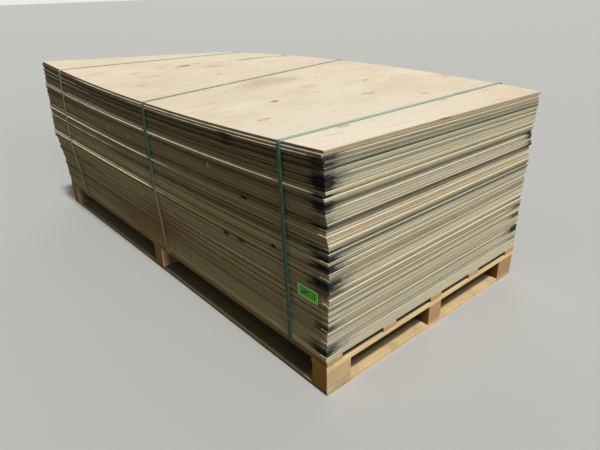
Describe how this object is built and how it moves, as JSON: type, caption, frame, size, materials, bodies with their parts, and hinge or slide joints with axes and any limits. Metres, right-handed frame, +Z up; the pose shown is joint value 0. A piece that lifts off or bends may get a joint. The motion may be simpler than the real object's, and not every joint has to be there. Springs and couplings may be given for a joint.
{
  "type": "stack of plywood sheets on a pallet",
  "caption": "Stack of warped plywood sheets on a four-way block pallet, held by three green straps.",
  "frame": {"origin": "floor level under the middle of the pallet", "axes": "+X along the sheets towards the front end, +Y across them towards the far side, +Z up"},
  "size_m": [2.4636, 1.2691, 0.8997],
  "materials": {
    "plywood": "sawn edges, sanded faces",
    "pallet_wood": "rough sawn softwood",
    "strap": "embossed polyester strap",
    "label": "printed sticker"
  },
  "bodies": {
    "root": {"base_board_centre": "pallet_wood", "base_board_far": "pallet_wood", "base_board_front": "pallet_wood", "base_board_near": "pallet_wood", "base_board_rear": "pallet_wood", "block_front_centre": "pallet_wood", "block_front_far": "pallet_wood", "block_front_near": "pallet_wood", "block_middle_centre": "pallet_wood", "block_middle_far": "pallet_wood", "block_middle_near": "pallet_wood", "block_rear_centre": "pallet_wood", "block_rear_far": "pallet_wood", "block_rear_near": "pallet_wood", "cross_board_front": "pallet_wood", "cross_board_middle": "pallet_wood", "cross_board_rear": "pallet_wood", "deck_board_1": "pallet_wood", "deck_board_2": "pallet_wood", "deck_board_3": "pallet_wood", "deck_board_4": "pallet_wood", "deck_board_5": "pallet_wood", "label": "label", "plywood_tier_01": "plywood", "plywood_tier_02": "plywood", "plywood_tier_03": "plywood", "plywood_tier_04": "plywood", "plywood_tier_05": "plywood", "plywood_tier_06": "plywood", "plywood_tier_07": "plywood", "plywood_tier_08": "plywood", "plywood_tier_09": "plywood", "plywood_tier_10": "plywood", "plywood_tier_11": "plywood", "plywood_tier_12": "plywood", "plywood_tier_13": "plywood", "plywood_tier_14": "plywood", "plywood_tier_15": "plywood", "strap_front": "strap", "strap_middle": "strap", "strap_rear": "strap"}
  },
  "joints": []
}
